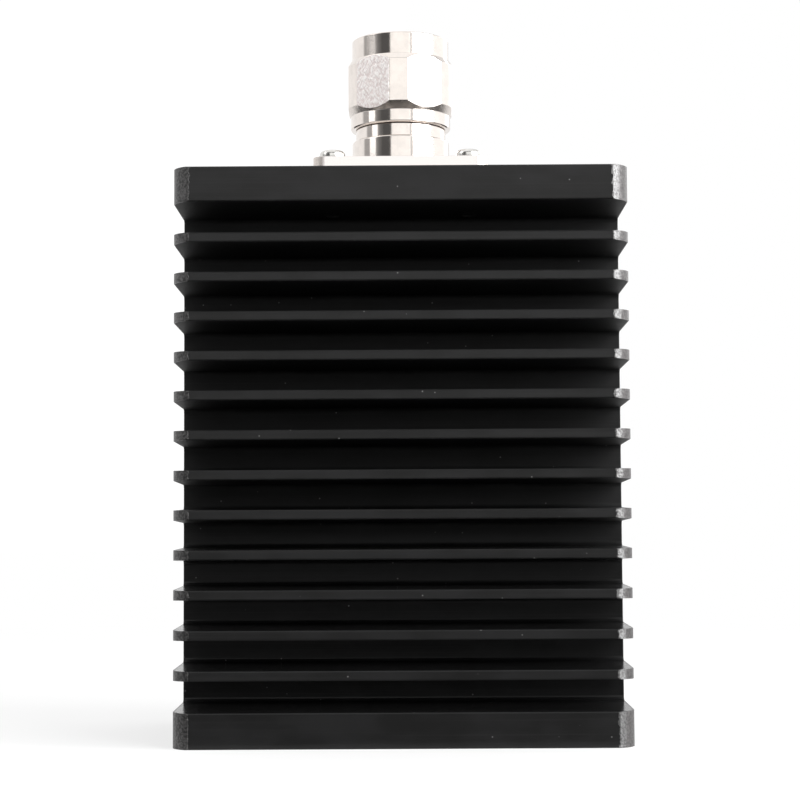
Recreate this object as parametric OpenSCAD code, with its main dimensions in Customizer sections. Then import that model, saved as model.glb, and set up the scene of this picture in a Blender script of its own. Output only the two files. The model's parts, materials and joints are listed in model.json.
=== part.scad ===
// One-port coaxial power load: two finned heat sink halves clamped back to back round a
// flanged power resistor, with a flanged coaxial plug and its free coupling nut on top.
// The connector axis is Z, the fins run along X, and the part stands on its lower end face.

/* [Heat sink] */
// Width of the heat sink along the fins
body_w = 81.6; // [74:0.2:110]
// Height of the fins from root to tip
fin_h = 19.5; // [14:0.5:28]
// Thickness of the solid web behind the fins of each half
web_t = 8.5; // [8:0.1:12]
// Number of thin fins on each half
fin_count = 12; // [8:1:18]
// Distance from one thin fin to the next
fin_pitch = 7.07; // [6:0.01:10]
// Thickness of a thin fin at its tip
fin_tip_t = 1.7; // [1.2:0.05:2.2]
// Lean of each fin face, in degrees
fin_draft = 1.15; // [0:0.05:1.5]
// Thickness of the two end plates at their outer edge
end_plate_t = 6.3; // [5.6:0.1:9]
// Opening between an end plate and the next fin, at the tips
end_gap = 5.6; // [4.5:0.1:8]
// Radius in the corners at the fin roots
root_r = 0.8; // [0.3:0.1:1.2]
// Chamfer along the edges of the fin tips
tip_chamfer = 0.2; // [0.1:0.05:0.4]
// Width of the rounded fin ends, along the fin
end_round_w = 2.8; // [1.5:0.1:5]
// Depth of the rounded fin ends, from the tips inwards
end_round_d = 3.4; // [1.5:0.1:6]
// Bulge of the rounded fin ends outside a straight bevel
end_round_bulge = 0.5; // [0.2:0.05:0.8]

/* [Clamping of the halves] */
// Thread diameter of the clamping screws
clamp_d = 3; // [2.5:0.5:3.5]
// Head diameter of the clamping screws
clamp_head_d = 5.5; // [5:0.1:6]
// Head height of the clamping screws
clamp_head_h = 3; // [2.5:0.1:4]
// Width across the flats of the socket in the clamping screws
clamp_socket = 2.5; // [2:0.1:2.8]
// Depth of the thread below the parting face
clamp_grip = 6; // [4:0.1:6.4]
// Distance of the clamping screws from the sides of the heat sink
clamp_inset = 12; // [8:0.5:15]
// Radial room round the washers, drilled down between the fins
clamp_room = 0.3; // [0.2:0.1:0.6]
// Depth of that drilling below the fin roots
clamp_seat_depth = 0.5; // [0.2:0.1:1]
// Thickness of the spring washers
washer_t = 0.8; // [0.5:0.1:1.2]
// Width of the washers' rim outside the screw heads
washer_rim = 0.25; // [0.1:0.05:0.4]
// Width of the split in the spring washers
washer_split = 0.7; // [0.4:0.1:1]
// Diameter of the locating pins between the halves
dowel_d = 3; // [2:0.5:4]
// Length of the locating pins
dowel_len = 10; // [6:0.5:12]
// Distance of the locating pins from the sides of the heat sink
dowel_inset = 10; // [7:0.5:14]

/* [Resistor] */
// Length of the resistor's metal base
res_len = 24.8; // [22:0.1:30]
// Width of the resistor's metal base
res_w = 9.5; // [8.5:0.1:12]
// Thickness of the resistor's metal base
res_base_t = 3.2; // [2.5:0.1:3.5]
// Side of the square ceramic plate
substrate_s = 9.1; // [7.5:0.1:9.5]
// Thickness of the ceramic plate
substrate_t = 1; // [0.6:0.1:1.2]
// Thickness of the resistive film
film_t = 0.1; // [0.05:0.01:0.2]
// Side of the resistive film
film_s = 6.4; // [5:0.1:7]
// Thickness of the ceramic cover over the film
cover_t = 1.3; // [0.8:0.1:2]
// Width of the connecting tab
tab_w = 1.4; // [1:0.1:2.4]
// Thickness of the connecting tab
tab_t = 0.2; // [0.1:0.05:0.4]
// Length of the tab that is joined to the film
tab_foot = 1.6; // [1.2:0.1:2]
// Thread diameter of the resistor screws
res_screw_d = 3; // [2:0.5:3.5]
// Head diameter of the resistor screws
res_head_d = 5.4; // [4.5:0.1:6]
// Head height of the resistor screws
res_head_h = 1.9; // [1.4:0.1:2.2]
// Distance between the two resistor screws
res_screw_span = 18.4; // [17.5:0.1:19]
// Length of thread of the resistor screws in the heat sink
res_screw_grip = 2.6; // [1.8:0.1:2.8]

/* [Chamber] */
// Solid metal between the chamber and the top face
chamber_wall = 8; // [6:0.5:12]
// Free room round the resistor in the chamber
chamber_room = 4; // [3:0.5:6]
// Depth of the chamber's recess in the rear half
chamber_rear_d = 4; // [3.5:0.1:5]
// Corner radius of the chamber
chamber_r = 3; // [2:0.5:4]
// Diameter of the bore from the top face into the chamber
entry_d = 10.2; // [9.6:0.1:12]

/* [Connector shell] */
// Side of the square flange
flange_s = 32.4; // [30:0.1:36]
// Thickness of the flange
flange_t = 4; // [3:0.1:5]
// Corner radius of the flange
flange_r = 2.2; // [1:0.1:2.6]
// Distance between the flange screws
flange_pitch = 25.4; // [24.8:0.1:26]
// Diameter of the barrel on the flange
barrel_d = 18.7; // [18.4:0.1:20]
// Length of the barrel
barrel_len = 5.5; // [4:0.1:8]
// Rounding of the barrel's upper edge
barrel_r = 0.4; // [0.2:0.1:0.5]
// Diameter of the collar between the barrel and the nut
collar_d = 17.3; // [16.8:0.1:17.3]
// Length of the collar
collar_len = 2.3; // [1.5:0.1:3]
// Diameter of the spindle that carries the nut
spindle_d = 14.6; // [14:0.1:15]
// Length of the spindle
spindle_len = 3.4; // [3.2:0.1:4.5]
// Bore of the shell round the insulator
shell_bore_d = 10; // [9.4:0.1:10.4]
// Depth of the shell's front wall, ahead of that bore
front_wall_t = 2; // [1.8:0.1:2.4]

/* [Flange screws] */
// Thread diameter of the flange screws
flange_screw_d = 2.5; // [2:0.1:3]
// Head diameter of the flange screws
flange_head_d = 4.8; // [4:0.1:5.4]
// Head height of the flange screws
flange_head_h = 1.6; // [1.4:0.1:2.4]
// Length of thread of the flange screws in the end plate
flange_screw_grip = 4.5; // [3:0.1:5]

/* [Coupling nut] */
// Length of the nut
nut_len = 17.3; // [16.5:0.1:19]
// Diameter turned over the nut's corners
nut_d = 21; // [20.6:0.1:21.6]
// Width across the nut's flats
nut_flats = 19.7; // [19.5:0.05:20]
// Diameter of the rear band
rear_band_d = 19.2; // [18.8:0.05:19.4]
// Length of the rear band
rear_band_len = 2.4; // [1.6:0.1:3]
// Length of the cone behind the flats
nut_cone_len = 1.4; // [1:0.1:2.2]
// Length of the cone ahead of the flats
front_cone_len = 1.2; // [0.8:0.1:1.8]
// Diameter of the front band
front_band_d = 18.7; // [18.4:0.1:19.2]
// Length of the front band
front_band_len = 4.2; // [3.6:0.1:5]
// Turn of the flats from the front, in degrees
nut_turn = -1.8; // [-30:0.1:30]
// Major diameter of the coupling thread
thread_d = 15.88; // [15.8:0.01:16]
// Length of the coupling thread
thread_len = 11.4; // [10:0.1:12]
// Chamfer at the mouth of the coupling thread
nut_chamfer = 0.5; // [0.2:0.1:0.6]

/* [Retaining ring and gasket] */
// Thickness of the retaining ring
ring_t = 0.9; // [0.7:0.05:1]
// Radial width of the retaining ring
ring_w = 1.15; // [1:0.05:1.2]
// How far the retaining ring stands out of the spindle
ring_proud = 0.5; // [0.4:0.05:0.6]
// Length of the bore on each side of the nut's ring groove
nut_lip = 0.65; // [0.5:0.05:0.7]
// Opening of the retaining ring, in degrees
ring_open = 24; // [10:1:40]
// Thickness of the sealing gasket
gasket_t = 1.5; // [1:0.1:2]
// Distance of the sealing gasket's rim from the edge of the spindle
gasket_inset = 0.2; // [0.1:0.05:0.5]

/* [Contacts] */
// Length of the line from the gasket to the reference plane
line_len = 9.14; // [8.8:0.01:9.4]
// Inner diameter of the outer contact
line_d = 7; // [6.9:0.01:7.1]
// Outer diameter of the outer contact
sleeve_d = 8.04; // [7.9:0.01:8.2]
// Diameter of the outer contact's root, which the gasket lies round
sleeve_root_d = 8.6; // [8.4:0.1:9]
// Thickness of the outer contact's base ring
sleeve_base_t = 1.5; // [1:0.1:2]
// Diameter of the centre contact
contact_d = 3.04; // [2.9:0.01:3.1]
// Diameter of the contact pin
pin_d = 1.6; // [1.5:0.01:1.7]
// Distance of the pin's shoulder behind the reference plane
pin_shoulder = 5.35; // [5:0.01:5.6]
// Reach of the pin ahead of the reference plane
pin_reach = 1; // [0.5:0.1:1.6]
// Diameter of the collar that holds the centre contact
contact_collar_d = 4.6; // [4.2:0.1:5.4]
// Length of that collar
contact_collar_len = 1.2; // [0.8:0.1:2]
// Reach of the centre contact into the chamber
contact_reach = 5; // [4.5:0.1:7]
// Length of the flat at the end of the centre contact
contact_flat = 3.6; // [2.6:0.1:4]

/* [Clearances] */
// Radial running clearance between nut and spindle
run_gap = 0.05; // [0.03:0.01:0.08]
// Radial clearance of fixed pieces in their bores
seat_gap = 0.02; // [0.01:0.01:0.04]
// Radial clearance of screws in their through holes
hole_gap = 0.15; // [0.1:0.05:0.25]
// Clearance between the nut and what it turns round
nut_gap = 0.25; // [0.2:0.05:0.35]
// Gap between the collar and the nut's rear face
rear_gap = 0.15; // [0.1:0.05:0.3]
// Gap between the centre contact's end and the resistor
contact_gap = 1; // [0.6:0.1:1.5]

/* [Hidden] */

$fn = 64;
// How far a cutting shape runs past the faces that it cuts
past = 1;
// Steps in a drawn corner arc
arc_steps = 5;

// Heat sink
half_d = fin_h + web_t;
body_h = 2 * (end_plate_t + end_gap) + (fin_count - 1) * fin_pitch + fin_tip_t;
fin_widening = fin_h * tan(fin_draft);

// Clamping: one row of screws in the lowest, the middle and the highest gap between thin fins
clamp_x = body_w / 2 - clamp_inset;
clamp_rows = [1, floor(fin_count / 2), fin_count - 1];
clamp_seat_y = web_t - clamp_seat_depth;
washer_d = clamp_head_d + 2 * washer_rim;
dowel_x = body_w / 2 - dowel_inset;
dowel_rows = [2, fin_count - 2];
// Room past the end of a screw or pin in its blind hole
blind_room = 0.5;

// Chamber and resistor, where y = 0 is the parting face and the tab lies on it
chamber_top = body_h - chamber_wall;
contact_end = chamber_top - contact_reach;
res_top = contact_end - contact_gap;
res_z = res_top - res_w / 2;
chamber_bottom = res_top - res_w - chamber_room;
chamber_w = res_len + 2 * chamber_room;
film_y = -film_t;
substrate_y = film_y - substrate_t;
chamber_floor_y = substrate_y - res_base_t;
tab_top = contact_end + contact_flat - contact_gap / 2;
substrate_top = res_z + substrate_s / 2;
cover_s = substrate_s - tab_foot - contact_gap / 2;

// Connector, upwards from the top face of the heat sink
barrel_top = body_h + flange_t + barrel_len;
collar_top = barrel_top + collar_len;
spindle_top = collar_top + spindle_len;
gasket_d = spindle_d - 2 * gasket_inset;
sleeve_base_z = spindle_top - front_wall_t - sleeve_base_t;
gasket_top = spindle_top + gasket_t;
reference_z = gasket_top + line_len;
root_bevel = (sleeve_root_d - sleeve_d) / 2;
pin_shoulder_z = reference_z - pin_shoulder;
pin_end = reference_z + pin_reach;

// Nut and retaining ring: the ring lies on the lower side of the spindle's groove
nut_z = collar_top + rear_gap;
nut_top = nut_z + nut_len;
nut_bore_r = spindle_d / 2 + run_gap;
nut_groove_z = nut_z + nut_lip;
ring_z = nut_groove_z + nut_gap;
ring_out_r = spindle_d / 2 + ring_proud;
ring_in_r = ring_out_r - ring_w;
ring_groove_r = ring_in_r - nut_gap / 2;
nut_groove_r = ring_out_r + nut_gap;
nut_groove_top = ring_z + ring_t + nut_gap;
nut_relief_z = nut_groove_top + nut_lip;
thread_z = nut_top - thread_len;
hex_top = nut_top - front_band_len;

// Points of an arc of radius r about c, from angle a to angle b
function arc(c, r, a, b, n = arc_steps) =
    [for (i = [0:n]) c + r * [cos(a + (b - a) * i / n), sin(a + (b - a) * i / n)]];

// Centre height of thin fin number i, counted from 1 at the bottom
function fin_z(i) = end_plate_t + end_gap + fin_tip_t / 2 + (i - 1) * fin_pitch;

// Middle height of the gap above thin fin number i
function gap_z(i) = fin_z(i) + fin_pitch / 2;

// Lower and upper edge, at the tips, of each gap between fins
function gap_edges() = concat(
    [[end_plate_t, end_plate_t + end_gap]],
    [for (i = [1:fin_count - 1]) [fin_z(i) + fin_tip_t / 2, fin_z(i + 1) - fin_tip_t / 2]],
    [[body_h - end_plate_t - end_gap, body_h - end_plate_t]]
);

// Outline of one gap between fins, from its lower tip edge round the root to its upper one
function gap_points(lo, hi) = concat(
    [
        [-half_d, lo - tip_chamfer],
        [-half_d + tip_chamfer, lo],
    ],
    arc([-web_t - root_r, lo + fin_widening + root_r], root_r, -90, 0),
    arc([-web_t - root_r, hi - fin_widening - root_r], root_r, 0, 90),
    [
        [-half_d + tip_chamfer, hi],
        [-half_d, hi + tip_chamfer],
    ]
);

// Section of the front half across the fins, in y and z
function comb_points() = concat(
    [[0, 0], [-half_d + tip_chamfer, 0], [-half_d, tip_chamfer]],
    [for (g = gap_edges()) each gap_points(g[0], g[1])],
    [[-half_d, body_h - tip_chamfer], [-half_d + tip_chamfer, body_h], [0, body_h]]
);

// Plan of the front half in x and y: each fin end is rounded by an arc that starts
// end_round_w beside its corner and runs out end_round_d behind it
module plan_outline() {
    chord = norm([end_round_w, end_round_d]);
    r = chord * chord / (8 * end_round_bulge) + end_round_bulge / 2;
    middle = [body_w / 2 - end_round_w / 2, -half_d + end_round_d / 2];
    centre = middle + [-end_round_d, end_round_w] / chord * (r - end_round_bulge);
    intersection() {
        translate([-body_w / 2, -half_d])
            square([body_w, half_d + past]);
        union() {
            translate([-centre[0], -half_d])
                square([2 * centre[0], half_d + past]);
            translate([-body_w / 2, centre[1]])
                square([body_w, past - centre[1]]);
            for (side = [-1, 1])
                translate([side * centre[0], centre[1]])
                    circle(r);
        }
    }
}

// One finned half before its holes are made, with its fins towards -Y
module finned_half() {
    intersection() {
        rotate([90, 0, 90])
            linear_extrude(body_w + 2 * past, center = true)
                polygon(comb_points());
        translate([0, 0, -past])
            linear_extrude(body_h + 2 * past)
                plan_outline();
    }
}

// Cylinder along +Y that starts at y0
module rod_y(x, z, y0, len, d) {
    translate([x, y0, z])
        rotate([-90, 0, 0])
            cylinder(h = len, d = d);
}

// Recess of the resistor chamber between two depths
module chamber(y0, y1) {
    w = chamber_w / 2 - chamber_r;
    lo = chamber_bottom + chamber_r;
    hi = chamber_top - chamber_r;
    outline = concat(
        arc([w, lo], chamber_r, -90, 0), arc([w, hi], chamber_r, 0, 90),
        arc([-w, hi], chamber_r, 90, 180), arc([-w, lo], chamber_r, 180, 270)
    );
    translate([0, y1, 0])
        rotate([90, 0, 0])
            linear_extrude(y1 - y0)
                polygon(outline);
}

// Bore from the top face into the chamber, on the parting face
module entry_bore() {
    translate([0, 0, chamber_top - past])
        cylinder(h = chamber_wall + 2 * past, d = entry_d);
}

// Threaded holes of the two flange screws on one side of the parting face
module flange_thread_holes(side) {
    for (x = [-1, 1])
        translate([x * flange_pitch / 2, side * flange_pitch / 2, body_h - end_plate_t - past])
            cylinder(h = end_plate_t + 2 * past, d = flange_screw_d + 2 * seat_gap);
}

module dowel_holes() {
    for (side = [-1, 1])
        rod_y(side * dowel_x, dowel_z(side), -dowel_len / 2 - blind_room / 2,
            dowel_len + blind_room, dowel_d + 2 * seat_gap);
}

// Height of the locating pin on each side: one low, one high
function dowel_z(side) = gap_z(side < 0 ? dowel_rows[0] : dowel_rows[1]);

module at_clamps() {
    for (row = clamp_rows, side = [-1, 1])
        translate([side * clamp_x, 0, gap_z(row)])
            rotate([-90, 0, 0])
                children();
}

module front_heat_sink() {
    color([0.10, 0.10, 0.11])
        difference() {
            finned_half();
            chamber(chamber_floor_y, past);
            entry_bore();
            flange_thread_holes(-1);
            dowel_holes();
            at_clamps()
                translate([0, 0, -clamp_grip - blind_room])
                    cylinder(h = clamp_grip + blind_room + past, d = clamp_d + 2 * seat_gap);
            for (side = [-1, 1])
                rod_y(side * res_screw_span / 2, res_z, chamber_floor_y - res_screw_grip - blind_room,
                    res_screw_grip + blind_room + past, res_screw_d + 2 * seat_gap);
        }
}

module rear_heat_sink() {
    color([0.10, 0.10, 0.11])
        difference() {
            mirror([0, 1, 0])
                finned_half();
            chamber(-past, chamber_rear_d);
            entry_bore();
            flange_thread_holes(1);
            dowel_holes();
            at_clamps() {
                translate([0, 0, -past])
                    cylinder(h = web_t + 2 * past, d = clamp_d + 2 * hole_gap);
                translate([0, 0, clamp_seat_y])
                    cylinder(h = half_d, d = washer_d + 2 * clamp_room);
            }
        }
}

// Socket head screws that hold the halves together, put in from behind between the fins
module clamp_screws() {
    color([0.62, 0.62, 0.64])
        at_clamps()
            difference() {
                rotate_extrude()
                    polygon([
                        [0, -clamp_grip], [clamp_d / 2 - tip_chamfer, -clamp_grip],
                        [clamp_d / 2, -clamp_grip + tip_chamfer],
                        [clamp_d / 2, clamp_seat_y + washer_t],
                        [clamp_head_d / 2, clamp_seat_y + washer_t],
                        [clamp_head_d / 2, clamp_seat_y + washer_t + clamp_head_h - tip_chamfer],
                        [clamp_head_d / 2 - tip_chamfer, clamp_seat_y + washer_t + clamp_head_h],
                        [0, clamp_seat_y + washer_t + clamp_head_h],
                    ]);
                translate([0, 0, clamp_seat_y + washer_t + clamp_head_h / 2])
                    cylinder(h = clamp_head_h, d = clamp_socket / cos(30), $fn = 6);
            }
}

// Split spring washers under the clamping screws
module clamp_washers() {
    color([0.55, 0.55, 0.57])
        at_clamps()
            translate([0, 0, clamp_seat_y])
                difference() {
                    cylinder(h = washer_t, d = washer_d);
                    translate([0, 0, -past])
                        cylinder(h = washer_t + 2 * past, d = clamp_d + 2 * hole_gap);
                    translate([0, -washer_split / 2, -past])
                        cube([washer_d, washer_split, washer_t + 2 * past]);
                }
}

module dowel_pins() {
    color([0.70, 0.70, 0.72])
        for (side = [-1, 1])
            rod_y(side * dowel_x, dowel_z(side), -dowel_len / 2, dowel_len, dowel_d);
}

// Plated copper base of the resistor, with a hole at each end
module resistor_base() {
    color([0.75, 0.72, 0.66])
        difference() {
            translate([-res_len / 2, chamber_floor_y, res_z - res_w / 2])
                cube([res_len, res_base_t, res_w]);
            for (side = [-1, 1])
                rod_y(side * res_screw_span / 2, res_z, chamber_floor_y - past,
                    res_base_t + 2 * past, res_screw_d + 2 * hole_gap);
        }
}

module resistor_substrate() {
    color([0.93, 0.93, 0.90])
        translate([-substrate_s / 2, substrate_y, res_z - substrate_s / 2])
            cube([substrate_s, substrate_t, substrate_s]);
}

// Resistive film, with the neck that leads to the tab
module resistor_film() {
    film_z = substrate_top - tab_foot - contact_gap / 2 - film_s;
    color([0.20, 0.16, 0.14]) {
        translate([-film_s / 2, film_y, film_z])
            cube([film_s, film_t, film_s]);
        translate([-tab_w / 2, film_y, film_z + film_s])
            cube([tab_w, film_t, substrate_top - film_z - film_s]);
    }
}

module resistor_cover() {
    color([0.95, 0.95, 0.93])
        translate([-cover_s / 2, 0, res_z - substrate_s / 2])
            cube([cover_s, cover_t, cover_s]);
}

// Tab that joins the film to the flat of the centre contact
module resistor_tab() {
    color([0.85, 0.82, 0.74])
        translate([-tab_w / 2, 0, substrate_top - tab_foot])
            cube([tab_w, tab_t, tab_top - substrate_top + tab_foot]);
}

module resistor_screws() {
    color([0.72, 0.72, 0.74])
        for (side = [-1, 1])
            translate([side * res_screw_span / 2, substrate_y, res_z])
                rotate([-90, 0, 0])
                    pan_screw(res_screw_d, res_base_t + res_screw_grip, res_head_d, res_head_h);
}

// Pan head screw with a cross recess; its head stands on z = 0
module pan_screw(d, len, head_d, head_h) {
    edge_r = head_h * 0.55;
    slot_w = head_d * 0.16;
    slot_len = head_d * 0.56;
    difference() {
        rotate_extrude() {
            polygon([
                [0, -len], [d / 2 - tip_chamfer, -len], [d / 2, -len + tip_chamfer], [d / 2, 0],
                [head_d / 2, 0], [head_d / 2, head_h - edge_r],
                [head_d / 2 - edge_r, head_h - edge_r], [head_d / 2 - edge_r, head_h],
                [0, head_h],
            ]);
            translate([head_d / 2 - edge_r, head_h - edge_r])
                intersection() {
                    circle(edge_r);
                    square(edge_r);
                }
        }
        for (turn = [0, 90])
            rotate(turn)
                translate([-slot_len / 2, -slot_w / 2, head_h * 0.4])
                    cube([slot_len, slot_w, head_h]);
    }
}

// Insulator between the top face and the chamber
module rear_insulator() {
    color([0.96, 0.96, 0.94])
        translate([0, 0, chamber_top])
            difference() {
                cylinder(h = chamber_wall, d = entry_d - 2 * seat_gap);
                translate([0, 0, -past])
                    cylinder(h = chamber_wall + 2 * past, d = contact_d + 2 * seat_gap);
            }
}

// Insulator in the shell, which holds the collar of the centre contact from above
module front_insulator() {
    color([0.96, 0.96, 0.94])
        translate([0, 0, body_h])
            difference() {
                cylinder(h = sleeve_base_z - body_h, d = shell_bore_d - 2 * seat_gap);
                translate([0, 0, -past])
                    cylinder(h = sleeve_base_z - body_h + 2 * past, d = contact_d + 2 * seat_gap);
                translate([0, 0, -past])
                    cylinder(h = contact_collar_len + past, d = contact_collar_d + 2 * seat_gap);
            }
}

// Centre contact: pin at the top, collar in the shell, flat for the tab at the bottom
module centre_contact() {
    r = contact_d / 2;
    tip = pin_d / 4;
    color([0.85, 0.68, 0.30])
        difference() {
            rotate_extrude()
                polygon([
                    [0, contact_end], [r, contact_end], [r, body_h],
                    [contact_collar_d / 2, body_h],
                    [contact_collar_d / 2, body_h + contact_collar_len],
                    [r, body_h + contact_collar_len],
                    [r, pin_shoulder_z - tip], [r - tip, pin_shoulder_z],
                    [pin_d / 2, pin_shoulder_z], [pin_d / 2, pin_end - 2 * tip],
                    [pin_d / 2 - tip / 2, pin_end - tip / 2], [tip, pin_end], [0, pin_end],
                ]);
            translate([-r - past, 0, contact_end - past])
                cube([2 * (r + past), r + past, contact_flat + past]);
        }
}

// Outer contact: a sleeve whose base ring bears on the shell's front wall from inside
module outer_contact() {
    base_r = shell_bore_d / 2 - seat_gap;
    color([0.86, 0.85, 0.82])
        rotate_extrude()
            polygon([
                [line_d / 2, sleeve_base_z], [base_r, sleeve_base_z],
                [base_r, sleeve_base_z + sleeve_base_t],
                [sleeve_root_d / 2, sleeve_base_z + sleeve_base_t],
                [sleeve_root_d / 2, gasket_top - tip_chamfer],
                [sleeve_d / 2, gasket_top - tip_chamfer + root_bevel],
                [sleeve_d / 2, reference_z - tip_chamfer],
                [sleeve_d / 2 - tip_chamfer, reference_z], [line_d / 2, reference_z],
            ]);
}

// Square plate with round corners
module flange_plate() {
    straight = flange_s - 2 * flange_r;
    linear_extrude(flange_t) {
        square([flange_s, straight], center = true);
        square([straight, flange_s], center = true);
        for (x = [-1, 1], y = [-1, 1])
            translate([x * straight / 2, y * straight / 2])
                circle(flange_r);
    }
}

// Turned and milled shell: flange, barrel, collar and the spindle with its ring groove
module connector_shell() {
    front_r = sleeve_root_d / 2 + seat_gap;
    inner_top = sleeve_base_z + sleeve_base_t;
    spindle_r = spindle_d / 2;
    color([0.86, 0.85, 0.82])
        difference() {
            union() {
                translate([0, 0, body_h])
                    flange_plate();
                rotate_extrude() {
                    polygon([
                        [0, body_h], [barrel_d / 2, body_h],
                        [barrel_d / 2, barrel_top - barrel_r],
                        [barrel_d / 2 - barrel_r, barrel_top - barrel_r],
                        [barrel_d / 2 - barrel_r, barrel_top],
                        [collar_d / 2, barrel_top], [collar_d / 2, collar_top - tip_chamfer],
                        [collar_d / 2 - tip_chamfer, collar_top],
                        [spindle_r, collar_top], [spindle_r, ring_z],
                        [ring_groove_r, ring_z], [ring_groove_r, ring_z + ring_t + nut_gap / 2],
                        [spindle_r, ring_z + ring_t + nut_gap / 2],
                        [spindle_r, spindle_top - tip_chamfer],
                        [spindle_r - tip_chamfer, spindle_top], [0, spindle_top],
                    ]);
                    translate([barrel_d / 2 - barrel_r, barrel_top - barrel_r])
                        circle(barrel_r);
                }
            }
            translate([0, 0, body_h - past])
                cylinder(h = inner_top - body_h + past, d = shell_bore_d);
            translate([0, 0, body_h])
                cylinder(h = spindle_top - body_h + past, r = front_r);
            for (x = [-1, 1], y = [-1, 1])
                translate([x * flange_pitch / 2, y * flange_pitch / 2, body_h - past])
                    cylinder(h = flange_t + 2 * past, d = flange_screw_d + 2 * hole_gap);
        }
}

module flange_screws() {
    color([0.80, 0.80, 0.80])
        for (x = [-1, 1], y = [-1, 1])
            translate([x * flange_pitch / 2, y * flange_pitch / 2, body_h + flange_t])
                pan_screw(flange_screw_d, flange_t + flange_screw_grip, flange_head_d, flange_head_h);
}

// Open spring ring that holds the nut on the spindle
module retaining_ring() {
    color([0.60, 0.60, 0.62])
        rotate(90 + ring_open / 2)
            rotate_extrude(angle = 360 - ring_open)
                translate([ring_in_r, ring_z])
                    square([ring_w, ring_t]);
}

// Soft gasket that the mating connector is pressed against
module sealing_gasket() {
    color([0.75, 0.25, 0.20])
        translate([0, 0, spindle_top])
            difference() {
                cylinder(h = gasket_t, d = gasket_d);
                translate([0, 0, -past])
                    cylinder(h = gasket_t + 2 * past, d = sleeve_root_d + 2 * seat_gap);
            }
}

// Turned outside of the nut, as a section in r and z
function nut_outside() = [
    [rear_band_d / 2 - nut_chamfer / 2, nut_z],
    [rear_band_d / 2, nut_z + nut_chamfer / 2],
    [rear_band_d / 2, nut_z + rear_band_len],
    [nut_d / 2, nut_z + rear_band_len + nut_cone_len],
    [nut_d / 2, hex_top - front_cone_len],
    [nut_flats / 2 - tip_chamfer / 2, hex_top],
    [front_band_d / 2, hex_top],
    [front_band_d / 2, nut_top - tip_chamfer],
    [front_band_d / 2 - tip_chamfer, nut_top],
];

// Bored inside of the nut, from the mouth down to the lip under the retaining ring
function nut_inside() = [
    [thread_d / 2 + nut_chamfer, nut_top],
    [thread_d / 2, nut_top - nut_chamfer],
    [thread_d / 2, thread_z],
    [nut_groove_r, thread_z],
    [nut_groove_r, nut_relief_z],
    [nut_bore_r, nut_relief_z],
    [nut_bore_r, nut_groove_top],
    [nut_groove_r, nut_groove_top],
    [nut_groove_r, nut_groove_z],
    [nut_bore_r, nut_groove_z],
    [nut_bore_r, nut_z],
];

// Coupling nut: two round bands and, between two cones, six flats
module coupling_nut() {
    color([0.86, 0.85, 0.82])
        intersection() {
            rotate_extrude()
                polygon(concat(nut_outside(), nut_inside()));
            union() {
                translate([0, 0, hex_top])
                    cylinder(h = front_band_len + past, d = nut_d + past);
                translate([0, 0, nut_z - past])
                    rotate(nut_turn - 90)
                        cylinder(h = hex_top - nut_z + past, d = nut_flats / cos(30), $fn = 6);
            }
        }
}

front_heat_sink();
rear_heat_sink();
clamp_screws();
clamp_washers();
dowel_pins();
resistor_base();
resistor_substrate();
resistor_film();
resistor_cover();
resistor_tab();
resistor_screws();
rear_insulator();
front_insulator();
centre_contact();
outer_contact();
connector_shell();
flange_screws();
retaining_ring();
sealing_gasket();
coupling_nut();
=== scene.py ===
import json
import math

import bpy
from mathutils import Matrix, Vector


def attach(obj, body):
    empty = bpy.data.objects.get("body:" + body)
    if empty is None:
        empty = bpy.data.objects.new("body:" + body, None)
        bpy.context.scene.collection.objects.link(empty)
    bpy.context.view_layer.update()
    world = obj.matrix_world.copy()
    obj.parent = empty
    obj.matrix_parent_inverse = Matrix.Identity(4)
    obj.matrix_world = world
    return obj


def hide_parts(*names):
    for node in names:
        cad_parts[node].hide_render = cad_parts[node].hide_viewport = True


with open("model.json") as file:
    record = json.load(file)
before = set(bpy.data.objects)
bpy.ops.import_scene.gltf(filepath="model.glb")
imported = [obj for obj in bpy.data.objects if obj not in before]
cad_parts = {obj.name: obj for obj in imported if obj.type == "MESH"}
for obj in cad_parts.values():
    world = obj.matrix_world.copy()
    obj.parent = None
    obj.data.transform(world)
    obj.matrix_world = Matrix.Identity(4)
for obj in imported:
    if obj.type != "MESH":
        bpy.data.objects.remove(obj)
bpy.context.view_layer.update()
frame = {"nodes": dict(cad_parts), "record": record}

MM = 0.001

# Heat sink, in millimetres: half its width and depth, its top face, and the arcs that round
# its fin ends, by their centre, radius and rear limit
HALF_WIDTH = 40.8
HALF_DEPTH = 28
BODY_TOP = 103.27
ARC_X, ARC_Y, ARC_R = 35.849, 23.376, 5.1
ARC_REAR = 24.6

# Connector shell, upwards from that top face
FLANGE_HALF = 16.2
FLANGE_CORNER_R = 2.2
FLANGE_TOP = BODY_TOP + 4
SCREW_AT = 25.4 / 2
BARREL_R = 9.35
BARREL_EDGE_R = 0.4
BARREL_TOP = FLANGE_TOP + 5.5
COLLAR_R = 8.65
COLLAR_TOP = BARREL_TOP + 2.3
SPINDLE_R = 7.3
SPINDLE_TOP = COLLAR_TOP + 3.4
SHELL_BORE_R = 5
WALL_HOLE_R = 4.32
FRONT_WALL = 2

# Coupling nut and the ring that holds it
NUT_FOOT = COLLAR_TOP + 0.15
RING_Z = NUT_FOOT + 0.9
NUT_TOP = NUT_FOOT + 17.3
HEX_FOOT = NUT_FOOT + 3.8
HEX_TOP = NUT_TOP - 4.2
REAR_BAND_TOP = NUT_FOOT + 2.4
REAR_BAND_R = 9.6
FRONT_BAND_R = 9.35
NUT_R = 10.5
NUT_BORE_R = 7.35
NUT_RELIEF_R = 8.05
THREAD_FOOT = NUT_TOP - 11.4
THREAD_MAJOR_R = 7.94
THREAD_PITCH = 25.4 / 24

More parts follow.
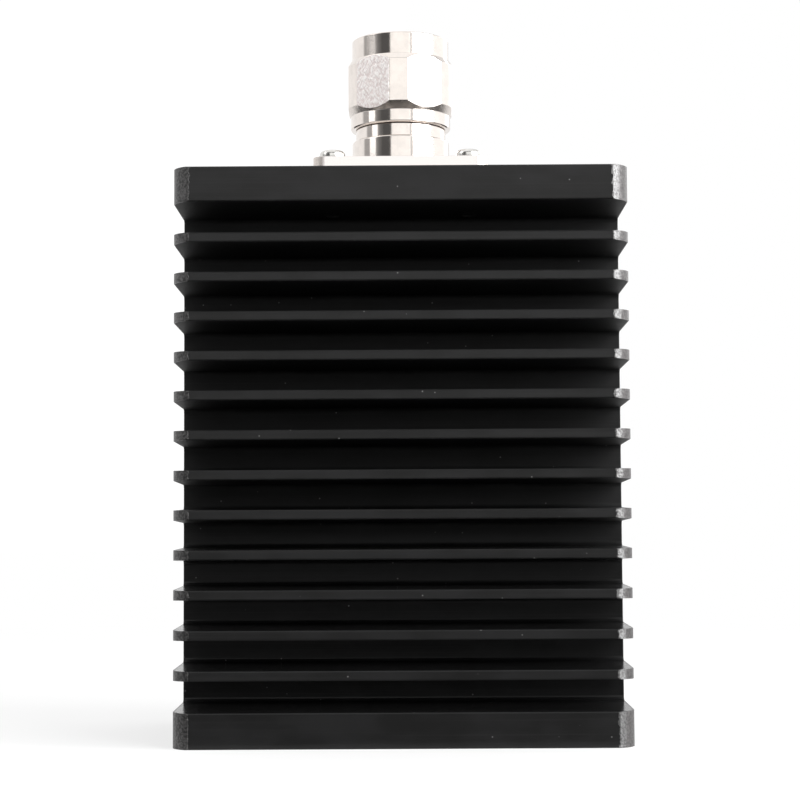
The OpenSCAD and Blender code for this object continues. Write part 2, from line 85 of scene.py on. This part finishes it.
# Half the width over the nut's flats, and their turn in degrees from the front
FLAT_R = 9.85
NUT_TURN = -1.8


# Modelling by hand

def start_fresh():
    """Nothing stays selected, so an operator only takes what is made next."""
    if bpy.context.object and bpy.context.object.mode != "OBJECT":
        bpy.ops.object.mode_set(mode="OBJECT")
    bpy.ops.object.select_all(action="DESELECT")


def work_on(piece):
    start_fresh()
    piece.select_set(True)
    bpy.context.view_layer.objects.active = piece


def pick(piece, kind, wanted):
    """Opens the piece for editing with only the wanted points or edges selected."""
    work_on(piece)
    bpy.ops.object.mode_set(mode="EDIT")
    bpy.ops.mesh.select_mode(type=kind)
    bpy.ops.mesh.select_all(action="DESELECT")
    bpy.ops.object.mode_set(mode="OBJECT")
    for part in piece.data.vertices if kind == "VERT" else piece.data.edges:
        part.select = wanted(part)
    bpy.ops.object.mode_set(mode="EDIT")


def pick_open_edges():
    """Selects the edges of the piece in edit mode that only one face has."""
    bpy.ops.mesh.select_all(action="DESELECT")
    bpy.ops.mesh.select_mode(type="EDGE")
    bpy.ops.mesh.select_non_manifold(
        extend=False, use_wire=False, use_boundary=True, use_multi_face=False,
        use_non_contiguous=False, use_verts=False)


def face_outwards():
    """Turns all faces of the piece in edit mode outwards and closes the editing."""
    bpy.ops.mesh.select_all(action="SELECT")
    bpy.ops.mesh.normals_make_consistent(inside=False)
    bpy.ops.object.mode_set(mode="OBJECT")


def finish_modifier(piece, kind, **settings):
    """Adds one modifier with its settings and applies it."""
    work_on(piece)
    modifier = piece.modifiers.new(kind.lower(), kind)
    for name, value in settings.items():
        setattr(modifier, name, value)
    bpy.ops.object.modifier_apply(modifier=modifier.name)


def seat_in_frame(piece):
    """Puts the piece's place into its mesh."""
    work_on(piece)
    bpy.ops.object.transform_apply(location=True, rotation=True, scale=True)
    return piece


def turned(name, outline, sides, ring=True):
    """A turned piece: a circle is extruded and scaled along the outline of radius and height."""
    start_fresh()
    radius, height = outline[0]
    bpy.ops.mesh.primitive_circle_add(
        vertices=sides, radius=radius * MM, location=(0, 0, height * MM))
    piece = bpy.context.object
    piece.name = piece.data.name = name
    seat_in_frame(piece)
    bpy.ops.object.mode_set(mode="EDIT")
    bpy.ops.mesh.select_mode(type="EDGE")
    bpy.ops.mesh.select_all(action="SELECT")
    for next_radius, next_height in outline[1:]:
        bpy.ops.mesh.extrude_edges_move(
            TRANSFORM_OT_translate={"value": (0, 0, (next_height - height) * MM)})
        wider = next_radius / radius
        bpy.ops.transform.resize(
            value=(wider, wider, 1), center_override=(0, 0, next_height * MM))
        radius, height = next_radius, next_height
    pick_open_edges()
    if ring:
        bpy.ops.mesh.bridge_edge_loops()
    else:
        bpy.ops.mesh.fill_holes(sides=0)
    face_outwards()
    return piece


def block(name, low, high):
    """A box between two corners in millimetres."""
    start_fresh()
    middle = [(a + b) / 2 * MM for a, b in zip(low, high)]
    bpy.ops.mesh.primitive_cube_add(size=1, location=middle)
    piece = bpy.context.object
    piece.name = piece.data.name = name
    piece.scale = [(b - a) * MM for a, b in zip(low, high)]
    return seat_in_frame(piece)


def combine(piece, tool, operation="DIFFERENCE"):
    """Cuts, joins or trims the piece with a tool that is then thrown away."""
    finish_modifier(piece, "BOOLEAN", operation=operation, solver="EXACT", object=tool)
    bpy.data.objects.remove(tool, do_unlink=True)


def soften(piece, width, angle, segments=3, clamp=True):
    """Breaks the edges, then shades the piece so that its flats stay flat."""
    finish_modifier(
        piece, "BEVEL", width=width * MM, segments=segments, limit_method="ANGLE",
        angle_limit=math.radians(angle), miter_outer="MITER_ARC", use_clamp_overlap=clamp)
    work_on(piece)
    bpy.ops.object.shade_smooth()
    finish_modifier(piece, "WEIGHTED_NORMAL", keep_sharp=True, weight=60)
    return piece


# The plug's pieces

def make_coupling_nut():
    """Two round bands and, between two cones, six milled flats."""
    # The foot is a little lower than the solid's, so that the seam above the collar looks thin
    foot = NUT_FOOT - 0.07
    groove_foot, groove_top, lip_top = NUT_FOOT + 0.65, RING_Z + 1.15, RING_Z + 1.8
    nut = turned("nut_body", [
        (REAR_BAND_R - 0.25, foot), (REAR_BAND_R, foot + 0.25), (REAR_BAND_R, REAR_BAND_TOP),
        (NUT_R, HEX_FOOT), (NUT_R, HEX_TOP - 1.2), (FLAT_R - 0.1, HEX_TOP),
        (FRONT_BAND_R, HEX_TOP), (FRONT_BAND_R, NUT_TOP - 0.2), (FRONT_BAND_R - 0.2, NUT_TOP),
        (THREAD_MAJOR_R + 0.5, NUT_TOP), (THREAD_MAJOR_R, NUT_TOP - 0.5),
        (THREAD_MAJOR_R, THREAD_FOOT), (NUT_RELIEF_R, THREAD_FOOT), (NUT_RELIEF_R, lip_top),
        (NUT_BORE_R, lip_top), (NUT_BORE_R, groove_top), (NUT_RELIEF_R, groove_top),
        (NUT_RELIEF_R, groove_foot), (NUT_BORE_R, groove_foot), (NUT_BORE_R, foot),
    ], sides=120)
    corner, outside = FLAT_R / math.cos(math.radians(30)), 14
    mill = turned("mill", [
        (corner, NUT_FOOT - 1), (corner, HEX_TOP), (outside, HEX_TOP), (outside, NUT_FOOT - 1),
    ], sides=6)
    work_on(mill)
    mill.rotation_euler.z = math.radians(NUT_TURN)
    seat_in_frame(mill)
    combine(nut, mill)
    return soften(nut, 0.08, angle=12, clamp=False)


def make_coupling_thread():
    """The nut's right-handed thread, trimmed by its relief and by the nut's mouth."""
    crest_r, middle_r, width, height, crest_share = 7.42, 7.69, 0.54, 0.94, 0.15
    start = (THREAD_FOOT - 1) * MM
    start_fresh()
    bpy.ops.mesh.primitive_plane_add(
        size=1, location=(middle_r * MM, 0, start), rotation=(math.pi / 2, 0, 0))
    thread = bpy.context.object
    thread.name = thread.data.name = "nut_thread"
    thread.scale = (width * MM, height * MM, 1)
    seat_in_frame(thread)
    pick(thread, "VERT", lambda v: v.co.x < middle_r * MM)
    bpy.ops.transform.resize(
        value=(1, 1, crest_share), center_override=(crest_r * MM, 0, start))
    bpy.ops.mesh.select_all(action="SELECT")
    bpy.ops.mesh.delete(type="ONLY_FACE")
    bpy.ops.object.mode_set(mode="OBJECT")
    finish_modifier(
        thread, "SCREW", axis="Z", angle=math.tau, steps=64, render_steps=64, iterations=13,
        screw_offset=THREAD_PITCH * MM, use_merge_vertices=False, use_smooth_shade=False)
    work_on(thread)
    bpy.ops.object.mode_set(mode="EDIT")
    bpy.ops.mesh.select_all(action="SELECT")
    bpy.ops.mesh.remove_doubles(threshold=1e-7)
    pick_open_edges()
    bpy.ops.mesh.fill_holes(sides=4)
    face_outwards()
    inner, outer = SPINDLE_R, THREAD_MAJOR_R + 0.08
    low, mouth = THREAD_FOOT + 0.05, NUT_TOP - 0.44
    room = turned("room", [
        (inner, low), (outer, low), (outer, mouth), (inner, mouth - (outer - inner)),
    ], sides=120)
    combine(thread, room, "INTERSECT")
    work_on(thread)
    bpy.ops.object.shade_smooth_by_angle(angle=math.radians(25))
    return thread


def stands_up(piece, edge):
    foot, head = (piece.data.vertices[i].co for i in edge.vertices)
    return abs(head.z - foot.z) > MM


def make_connector_shell():
    """Milled flange, turned barrel, collar and the spindle that carries the nut."""
    half = FLANGE_HALF
    shell = block("plug_shell", (-half, -half, BODY_TOP), (half, half, FLANGE_TOP))
    pick(shell, "EDGE", lambda e: stands_up(shell, e))
    bpy.ops.mesh.bevel(
        offset=FLANGE_CORNER_R * MM, offset_type="OFFSET", segments=10, affect="EDGES")
    bpy.ops.object.mode_set(mode="OBJECT")
    edge_r = BARREL_EDGE_R
    round_edge = [
        (BARREL_R - edge_r + edge_r * math.cos(a), BARREL_TOP - edge_r + edge_r * math.sin(a))
        for a in (math.radians(18 * step) for step in range(6))
    ]
    groove_r, groove_top = 6.525, RING_Z + 1.025
    barrel = turned("barrel", [
        (BARREL_R, BODY_TOP + 1), *round_edge, (COLLAR_R, BARREL_TOP), (COLLAR_R, COLLAR_TOP),
        (SPINDLE_R, COLLAR_TOP), (SPINDLE_R, RING_Z), (groove_r, RING_Z),
        (groove_r, groove_top), (SPINDLE_R, groove_top), (SPINDLE_R, SPINDLE_TOP),
    ], sides=120, ring=False)
    combine(shell, barrel, "UNION")
    wall_foot = SPINDLE_TOP - FRONT_WALL
    bore = turned("bore", [
        (SHELL_BORE_R, BODY_TOP - 1), (SHELL_BORE_R, wall_foot),
        (WALL_HOLE_R, wall_foot), (WALL_HOLE_R, SPINDLE_TOP + 1),
    ], sides=64, ring=False)
    combine(shell, bore)
    hole_r, hole_depth = 1.4, 6
    for x in (-1, 1):
        for y in (-1, 1):
            start_fresh()
            bpy.ops.mesh.primitive_cylinder_add(
                vertices=32, radius=hole_r * MM, depth=hole_depth * MM,
                location=(x * SCREW_AT * MM, y * SCREW_AT * MM, (BODY_TOP + 2) * MM))
            combine(shell, seat_in_frame(bpy.context.object))
    return soften(shell, 0.1, angle=20)


def make_flange_screws():
    """Four pan head screws with a tapered cross recess, each left at its own turn."""
    foot, head_r, head_h, edge_r = FLANGE_TOP, 2.4, 1.6, 0.88
    shank_r, shank_end, point = 1.25, FLANGE_TOP - 8.4, 0.2
    dome = [
        (head_r - edge_r * (1 - math.cos(a)), foot + head_h - edge_r * (1 - math.sin(a)))
        for a in (math.radians(15 * step) for step in range(7))
    ]
    head = turned("pan_head", [
        (shank_r - point, shank_end), (shank_r, shank_end + point), (shank_r, foot),
        (head_r, foot), *dome, (0.4, foot + head_h),
    ], sides=64, ring=False)
    arm, half_slot, recess_foot = 1.34, 0.38, foot + 0.65
    for turn in (0, 90):
        blade = block("blade", (-arm, -half_slot, recess_foot), (arm, half_slot, foot + 2))
        pick(blade, "VERT", lambda v: v.co.z < (foot + 1) * MM)
        bpy.ops.transform.resize(value=(0.45, 0.7, 1), center_override=(0, 0, foot * MM))
        bpy.ops.object.mode_set(mode="OBJECT")
        blade.rotation_euler.z = math.radians(turn)
        seat_in_frame(blade)
        combine(head, blade)
    soften(head, 0.05, angle=30, segments=2)
    turns = {(-1, -1): 21, (1, -1): 64, (-1, 1): 38, (1, 1): 77}
    made = []
    for (x, y), turn in turns.items():
        screw = head.copy()
        screw.data = head.data.copy()
        screw.data.transform(
            Matrix.Translation((x * SCREW_AT * MM, y * SCREW_AT * MM, 0))
            @ Matrix.Rotation(math.radians(turn), 4, "Z"))
        bpy.context.scene.collection.objects.link(screw)
        made.append(screw)
    bpy.data.objects.remove(head, do_unlink=True)
    start_fresh()
    for screw in made:
        screw.select_set(True)
    bpy.context.view_layer.objects.active = made[0]
    bpy.ops.object.join()
    made[0].name = made[0].data.name = "pan_screws"
    return made[0]


# Finishes

class Signal:
    """A socket of a pattern, written into sums and products."""

    def __init__(self, pattern, socket):
        self.pattern, self.socket = pattern, socket

    def maths(self, operation, first, second=0.0):
        return self.pattern.node("ShaderNodeMath", {"operation": operation}, {0: first, 1: second})

    def larger(self, other):
        return self.maths("MAXIMUM", self, other)

    def __add__(self, other):
        return self.maths("ADD", self, other)

    def __radd__(self, other):
        return self.maths("ADD", other, self)

    def __sub__(self, other):
        return self.maths("SUBTRACT", self, other)

    def __rsub__(self, other):
        return self.maths("SUBTRACT", other, self)

    def __mul__(self, other):
        return self.maths("MULTIPLY", self, other)

    def __rmul__(self, other):
        return self.maths("MULTIPLY", other, self)

    def __abs__(self):
        return self.maths("ABSOLUTE", self)

    def __pow__(self, other):
        return self.maths("POWER", self, other)


class Pattern:
    """The nodes behind a finish, or behind the light of the room."""

    def __init__(self, owner):
        owner.use_nodes = True
        self.tree = owner.node_tree

    def feed(self, socket, value):
        if isinstance(value, Signal):
            self.tree.links.new(value.socket, socket)
        else:
            socket.default_value = value

    def node(self, kind, settings=None, inputs=None, output=0):
        """Makes a node: its settings come first, then the values or links of its sockets."""
        made = self.tree.nodes.new(kind)
        for name, value in (settings or {}).items():
            if name == "stops":
                stops = made.color_ramp.elements
                for spot, (place, colour) in enumerate(value):
                    stop = stops[spot] if spot < 2 else stops.new(place)
                    stop.position, stop.color = place, colour
            else:
                setattr(made, name, value)
        for name, value in (inputs or {}).items():
            self.feed(made.inputs[name], value)
        return Signal(self, made.outputs[output])

    def outputs(self, kind, names, inputs=None):
        """Several outputs of one node."""
        made = self.node(kind, inputs=inputs).socket.node
        return [Signal(self, made.outputs[name]) for name in names]

    def step(self, value, low, high, start=0.0, end=1.0):
        """Runs smoothly from start to end while value runs from low to high."""
        return self.node("ShaderNodeMapRange", {"interpolation_type": "SMOOTHSTEP"}, {
            "Value": value, "From Min": low, "From Max": high, "To Min": start, "To Max": end})


class Finish(Pattern):
    """A surface finish: one principled shader and the pattern that drives it, in millimetres."""

    def __init__(self, name, **shader_values):
        self.material = bpy.data.materials.new(name)
        super().__init__(self.material)
        self.shader = self.tree.nodes["Principled BSDF"]
        for socket, value in shader_values.items():
            self.shader.inputs[socket.replace("_", " ")].default_value = value

    def place(self, stretch=(1, 1, 1)):
        """The point on the piece in millimetres, stretched."""
        point = self.node("ShaderNodeTexCoord", output="Object")
        return self.node("ShaderNodeMapping", inputs={
            "Vector": point, "Scale": [s / MM for s in stretch]})

    def axes(self):
        return self.outputs("ShaderNodeSeparateXYZ", "XYZ", {"Vector": self.place()})

    def noise(self, stretch=(1, 1, 1), detail=2.0, rough=0.5, at=None):
        return self.node("ShaderNodeTexNoise", inputs={
            "Vector": at or self.place(stretch), "Scale": 1.0,
            "Detail": detail, "Roughness": rough})

    def scratches(self, lay, slant):
        """Short uneven cutter marks, drawn across a flat at a slant in degrees."""
        slanted = self.node("ShaderNodeMapping", inputs={
            "Vector": lay, "Rotation": (0, 0, math.radians(slant))})
        return self.noise(detail=2, at=self.node("ShaderNodeMapping", inputs={
            "Vector": slanted, "Scale": (3.3, 0.95, 1)}))

    def blend(self, share, first, second):
        return self.node(
            "ShaderNodeMix", {"data_type": "RGBA"}, {0: share, 6: first, 7: second}, output=2)

    def paint(self, colour, roughness, height=None, depth=0.0):
        """Feeds the shader; depth is the height of the relief in millimetres."""
        self.feed(self.shader.inputs["Base Color"], colour)
        self.feed(self.shader.inputs["Roughness"], roughness)
        if height is not None:
            relief = self.node("ShaderNodeBump", inputs={
                "Strength": 1.0, "Distance": depth * MM, "Height": height})
            self.feed(self.shader.inputs["Normal"], relief)
        return self.material


def grey(level, red=1.0, blue=1.0):
    return (level * red, level, level * blue, 1.0)


def black_anodise():
    """Satin black: die lines along the fins, fine grain, rough ends with a painted highlight on
    the right ones, and a little lint.
    """
    f = Finish("black_anodise", IOR=1.25, Specular_IOR_Level=0.76)
    x, y, z = f.axes()
    aside, out = abs(x), abs(y)
    lines = f.noise((0.015, 4, 4), detail=3)
    grain = f.noise((7, 7, 7), detail=3, rough=0.6)
    cloud = f.noise((0.12, 0.3, 0.3), detail=3)
    peel = f.noise((2.4, 2.4, 2.4), detail=3, rough=0.55)

    # The rough ends: the arcs, from a ragged border outwards, and the two side faces
    border = 37.67
    rim = ((aside - ARC_X) ** 2 + (out - ARC_Y) ** 2) ** 0.5
    ragged = aside + (f.noise((1.1, 1.1, 1.1), detail=3, rough=0.6) - 0.5) * 1.1
    arcs = (f.step(rim, ARC_R - 0.35, ARC_R - 0.15) * f.step(ragged, border, border + 0.15)
            * f.step(out, ARC_REAR - 0.3, ARC_REAR - 0.1))
    ends = f.step(arcs + f.step(aside, HALF_WIDTH - 0.15, HALF_WIDTH - 0.08), 0, 1)

    # Satin black, paler along the die lines
    tone = f.blend(f.step(cloud, 0.3, 0.7), grey(0.0072), grey(0.0106, 1.0, 1.03))
    tone = f.blend(f.step(lines, 0.5, 0.75) * 0.5, tone, grey(0.016))

    # Speckled ends. The right arcs carry a painted highlight, palest on their inner part and
    # fading outwards, and painted shade dims it on the lowest of them
    speckle = f.step(peel, 0.35, 0.65)
    dark_ends = f.blend(speckle, grey(0.042, 1.02), grey(0.108, 1.02))
    highlight_inner = f.blend(speckle, grey(0.13, 1.02), grey(0.285))
    shaded_low_highlight = f.blend(speckle, grey(0.09, 1.02), grey(0.2))
    highlight_fade = f.blend(speckle, grey(0.1, 1.04), grey(0.16, 1.04))
    outer = f.step(aside, 38.7, 39.5)
    right_arcs = f.step(x, -1, 1) * f.step(x, HALF_WIDTH - 0.2, HALF_WIDTH - 0.05, 1, 0)
    highlight_inner = f.blend(f.step(z, 7, 9, 1, 0), highlight_inner, shaded_low_highlight)
    tone = f.blend(ends, tone, f.blend(
        right_arcs, dark_ends, f.blend(outer, highlight_inner, highlight_fade)))

    # Lint
    fleck = f.node("ShaderNodeTexVoronoi", {"feature": "F1"}, {
        "Vector": f.place((0.36, 0.36, 0.36)), "Scale": 1.0})
    tone = f.blend(f.step(fleck, 0.03, 0.06, 1, 0), tone, grey(0.14))

    # Between the fins the finish is duller above and smoother below than on their tips
    f.feed(f.shader.inputs["Metallic"], ends * 0.88)
    inside = f.step(out, HALF_DEPTH - 0.3, HALF_DEPTH - 0.15, 1, 0) * (1 - ends)
    gloss = 0.37 + inside * f.step(z, 30, 45, -0.19, 0.2)
    gloss = gloss + (grain - 0.5) * 0.12 + (cloud - 0.5) * 0.1
    relief = lines * 0.35 + grain * 0.35 + ends * (peel * 3.0 + grain * 1.2) * (1.3 - 0.7 * outer)
    return f.paint(tone, gloss, relief, depth=0.03)


def nickel_plate(name, milled_flats=False, milled_flange=False):
    """Bright nickel with the fine rings of turning, and another lay where it is milled."""
    f = Finish(name, Metallic=1.0)
    x, y, z = f.axes()
    radius = (x * x + y * y) ** 0.5
    spot = f.node("ShaderNodeCombineXYZ", inputs={"X": radius * 9, "Y": z * 9, "Z": 0.0})
    rings = f.noise(at=spot, detail=3, rough=0.7)
    cloud = f.noise((0.5, 0.5, 0.5), detail=3)
    tone = (0.81, 0.75, 0.705, 1)
    shade = tuple(c * 0.9 for c in tone[:3]) + (1,)
    colour = f.blend(f.step(cloud, 0.25, 0.75), tone, shade)
    gloss = 0.1 + (rings - 0.5) * 0.05 + (cloud - 0.5) * 0.06
    relief = rings * 0.25
    if milled_flange:
        corner = FLANGE_HALF - FLANGE_CORNER_R
        corners = (f.step(abs(x), corner - 0.1, corner + 0.1)
                   * f.step(abs(y), corner - 0.1, corner + 0.1))
        gloss = gloss + corners * 0.35
        sides = f.step(abs(y), FLANGE_HALF - 0.1, FLANGE_HALF - 0.02)
        colour = f.blend(sides, colour, (0.8, 0.756, 0.736, 1))
    if milled_flats:
        turns = [math.radians(NUT_TURN + turn) for turn in (30, 90, 150)]
        first, second, third = [abs(x * math.sin(a) - y * math.cos(a)) for a in turns]
        across = first.larger(second).larger(third)
        flats = f.step(across, FLAT_R - 0.012, FLAT_R - 0.004)
        round_by = x.maths("ARCTAN2", x, 0 - y) * 10
        lay = f.node("ShaderNodeCombineXYZ", inputs={"X": round_by, "Y": z, "Z": 0.0})
        strokes = f.scratches(lay, 38) + f.scratches(lay, -35)
        relief = relief + flats * strokes * 2.9
        cone = (f.step(z, REAR_BAND_TOP - 0.02, REAR_BAND_TOP + 0.04)
                * f.step(z, HEX_FOOT - 0.04, HEX_FOOT + 0.02, 1, 0))
        gloss = gloss + flats * 0.26 + cone * 0.16
        # Painted glints and sheen: the flats' colour is paler than the nickel and palest along the
        # milling strokes, whose relief is real
        bright = f.blend(f.step(strokes, 0.86, 1.14), (0.80, 0.71, 0.69, 1), (1.0, 0.96, 0.94, 1))
        colour = f.blend(flats, colour, bright)
    return f.paint(colour, gloss, relief, depth=0.012)


def plain_finish(name, tone, shade, roughness, scale, depth, **shader_values):
    """A finish with a soft grain, lighter and darker in patches."""
    f = Finish(name, **shader_values)
    grain = f.noise((scale, scale, scale), detail=3, rough=0.6)
    cloud = f.noise((scale / 6, scale / 6, scale / 6), detail=2)
    colour = f.blend(f.step(cloud, 0.3, 0.7), tone, shade)
    return f.paint(colour, roughness + (grain - 0.5) * 0.08, grain, depth=depth)


FINISHES = {
    "heat_sink": black_anodise(),
    "nickel": nickel_plate("bright_nickel", milled_flange=True),
    "nut_nickel": nickel_plate("nut_nickel", milled_flats=True),
    "flange_screw": plain_finish(
        "plated_screw", grey(0.72, 1.02, 0.96), grey(0.6, 1.02, 0.96), 0.2, 6, 0.006,
        Metallic=1.0),
    "screw_steel": plain_finish(
        "zinc_screw", grey(0.56), grey(0.46, 0.98, 1.03), 0.32, 5, 0.01, Metallic=1.0),
    "spring_steel": plain_finish(
        "spring_steel", grey(0.42), grey(0.33, 1.02, 0.98), 0.34, 5, 0.01, Metallic=1.0),
    "copper_base": plain_finish(
        "plated_copper", grey(0.62, 1.04, 0.92), grey(0.52, 1.06, 0.9), 0.3, 4, 0.01,
        Metallic=1.0),
    "contact_gold": plain_finish(
        "contact_gold", (0.88, 0.62, 0.24, 1), (0.80, 0.54, 0.19, 1), 0.2, 6, 0.005,
        Metallic=1.0),
    "insulator": plain_finish(
        "white_insulator", grey(0.82, 1.0, 0.98), grey(0.76, 1.0, 0.97), 0.5, 4, 0.01),
    "ceramic": plain_finish(
        "white_ceramic", grey(0.80, 1.0, 0.96), grey(0.74, 1.0, 0.95), 0.42, 8, 0.01),
    "film": plain_finish(
        "resistive_film", grey(0.055, 1.1, 0.9), grey(0.035, 1.1, 0.9), 0.5, 10, 0.01),
    "gasket": plain_finish(
        "red_silicone", (0.36, 0.045, 0.028, 1), (0.29, 0.035, 0.022, 1), 0.55, 5, 0.02),
}


def dress(piece, body, slot, *nodes):
    """A new piece takes its finish and rides in the place of its CAD nodes."""
    piece.data.materials.clear()
    piece.data.materials.append(FINISHES[slot])
    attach(piece, body)
    if nodes:
        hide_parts(*nodes)


for part in frame["record"]["subparts"]:
    frame["nodes"][part["node"]].material_slots[0].material = FINISHES[part["material_slot"]]

dress(make_coupling_nut(), "nut_body", "nut_nickel", "coupling_nut")
dress(make_coupling_thread(), "nut_body", "nut_nickel")
dress(make_connector_shell(), "load_body", "nickel", "connector_shell")
dress(make_flange_screws(), "load_body", "flange_screw", "flange_screws")


# Floor, light and camera, in metres and degrees

CENTRE = Vector((0, 0, 0.06))

# Level of the walls by azimuth, which is 0 in front of the object and 90 on its right
WALL_LEVELS = (
    (-180, 1.07), (-98, 1.07), (-94, 0.45), (-62, 0.45), (-53, 0.2), (-46, 0.14), (-42, 0.03),
    (126, 0.1), (132, 0.95),
)


def out_at(azimuth, elevation, distance):
    """A point round the object; azimuth 0 is in front of it and 90 on its right."""
    a, e = math.radians(azimuth), math.radians(elevation)
    return CENTRE + distance * Vector(
        (math.sin(a) * math.cos(e), -math.cos(a) * math.cos(e), math.sin(e)))


def lay_floor():
    """A pale floor that turns white to the eye with distance and keeps the object's shadow."""
    start_fresh()
    bpy.ops.mesh.primitive_plane_add(size=8)
    floor = bpy.context.object
    floor.name = "floor"
    f = Finish("pale_floor", Specular_IOR_Level=0.0)
    x, y, _ = f.axes()
    seen, mirrored, through = f.outputs(
        "ShaderNodeLightPath", ("Is Camera Ray", "Is Glossy Ray", "Is Transmission Ray"))
    direct = f.step(seen + mirrored + through, 0, 1)
    far = (x * x + y * y) ** 0.5
    white = f.node("ShaderNodeEmission", inputs={"Color": (1, 1, 1, 1), "Strength": 1.0})
    f.paint(f.blend(f.noise((0.01, 0.01, 0.01)), grey(0.84), grey(0.86)), 0.8)
    share = direct * f.step(far, 60, 420, 0.62, 1.0)
    mixed = f.node("ShaderNodeMixShader", inputs={
        0: share, 1: Signal(f, f.shader.outputs[0]), 2: white})
    f.feed(f.tree.nodes["Material Output"].inputs["Surface"], mixed)
    floor.data.materials.append(f.material)


def light_room():
    """White to the eye; brighter behind and above the object than in front of it."""
    world = bpy.data.worlds.new("studio")
    bpy.context.scene.world = world
    room = Pattern(world)
    background = room.tree.nodes["Background"]
    way = room.node("ShaderNodeTexCoord", output="Generated")
    x, y, z = room.outputs("ShaderNodeSeparateXYZ", "XYZ", {"Vector": way})
    azimuth = x.maths("ARCTAN2", x, y * -1)
    round_by = room.node("ShaderNodeMapRange", {"interpolation_type": "LINEAR"}, {
        "Value": azimuth, "From Min": -math.pi, "From Max": math.pi})
    stops = [((side + 180) / 360, grey(level)) for side, level in WALL_LEVELS]
    walls = room.node("ShaderNodeValToRGB", {"stops": stops}, {0: round_by})
    ceiling = room.step(z, 0.45, 0.98, 0.1, 1.25)
    seen = room.node("ShaderNodeLightPath", output="Is Camera Ray")
    room.feed(background.inputs["Color"], (1, 1, 1, 1))
    room.feed(background.inputs["Strength"], walls.larger(ceiling).larger(seen))


def softbox(name, azimuth, elevation, distance, width, height, level, colour=(1, 1, 1)):
    """A lamp whose face has the given level, where 1 is white."""
    data = bpy.data.lights.new(name, "AREA")
    data.shape, data.size, data.size_y = "RECTANGLE", width, height
    data.energy = level * math.pi * width * height
    data.color = colour
    lamp = bpy.data.objects.new(name, data)
    lamp.location = out_at(azimuth, elevation, distance)
    lamp.rotation_euler = (CENTRE - lamp.location).to_track_quat("-Z", "Y").to_euler()
    lamp.visible_camera = False
    bpy.context.scene.collection.objects.link(lamp)


def dark_screen(name, finish_name, width, depth, place):
    """A dark plane that the camera doesn't see."""
    start_fresh()
    bpy.ops.mesh.primitive_plane_add(size=1)
    screen = bpy.context.object
    screen.name = name
    screen.scale = (width, depth, 1)
    screen.location = place
    f = Finish(finish_name, Specular_IOR_Level=0.0)
    f.paint(f.blend(f.noise((0.02, 0.02, 0.02)), grey(0.02), grey(0.03)), 0.9)
    screen.data.materials.append(f.material)
    screen.visible_camera = False
    return screen


def hang_dark_card():
    """A dark card behind the key lamp, which frames it where bright metal mirrors it."""
    card = dark_screen("key_frame", "key_frame_cloth", 1.095, 0.9, out_at(53.4, 22, 0.96))
    card.rotation_euler = (CENTRE - card.location).to_track_quat("Z", "Y").to_euler()


def lay_dark_cloth():
    """Black cloth before the object, so that nothing bright is mirrored from below."""
    cloth = dark_screen("dark_cloth", "floor_cloth", 1.1, 0.7, (0.1, -0.38, 0.0004))
    cloth.visible_diffuse = False
    cloth.visible_shadow = False


lay_floor()
light_room()
softbox("key", azimuth=47.5, elevation=22, distance=0.9, width=0.53, height=0.7, level=5.8)
softbox("seam", azimuth=26.6, elevation=19.3, distance=0.93, width=0.14, height=0.5, level=0.7)
softbox("edge", azimuth=73, elevation=20, distance=0.9, width=0.253, height=0.7, level=10)
softbox("side", azimuth=117, elevation=22, distance=0.9, width=1.15, height=0.62, level=1.25)
softbox("front", azimuth=0.25, elevation=19.3, distance=0.95, width=0.777, height=0.5, level=1.2,
        colour=(1, 1, 0.99))
softbox("streak", azimuth=-69, elevation=15.5, distance=0.9, width=0.253, height=0.065, level=1.3)
softbox("high_left", azimuth=-74, elevation=36, distance=0.9, width=0.38, height=0.5, level=1.7)
hang_dark_card()
lay_dark_cloth()


def set_camera():
    """The photograph's viewpoint, low in front of the object and looking slightly up."""
    place = (0.00093, -0.36991, 0.037755)
    yaw, pitch, roll = (math.radians(a) for a in (-0.205, 3.9255, -0.316))
    ahead = Vector((
        math.sin(yaw) * math.cos(pitch), math.cos(yaw) * math.cos(pitch), math.sin(pitch)))
    level_right = ahead.cross(Vector((0, 0, 1))).normalized()
    level_up = level_right.cross(ahead)
    right = math.cos(roll) * level_right + math.sin(roll) * level_up
    up = -math.sin(roll) * level_right + math.cos(roll) * level_up
    data = bpy.data.cameras.new("camera")
    data.lens, data.sensor_width = 87.105, 36
    data.clip_start, data.clip_end = 0.01, 20
    camera = bpy.data.objects.new("camera", data)
    bpy.context.scene.collection.objects.link(camera)
    camera.matrix_world = (
        Matrix.Translation(place) @ Matrix((right, up, -ahead)).transposed().to_4x4())
    bpy.context.scene.camera = camera


set_camera()
bpy.context.scene.view_settings.view_transform = "Standard"
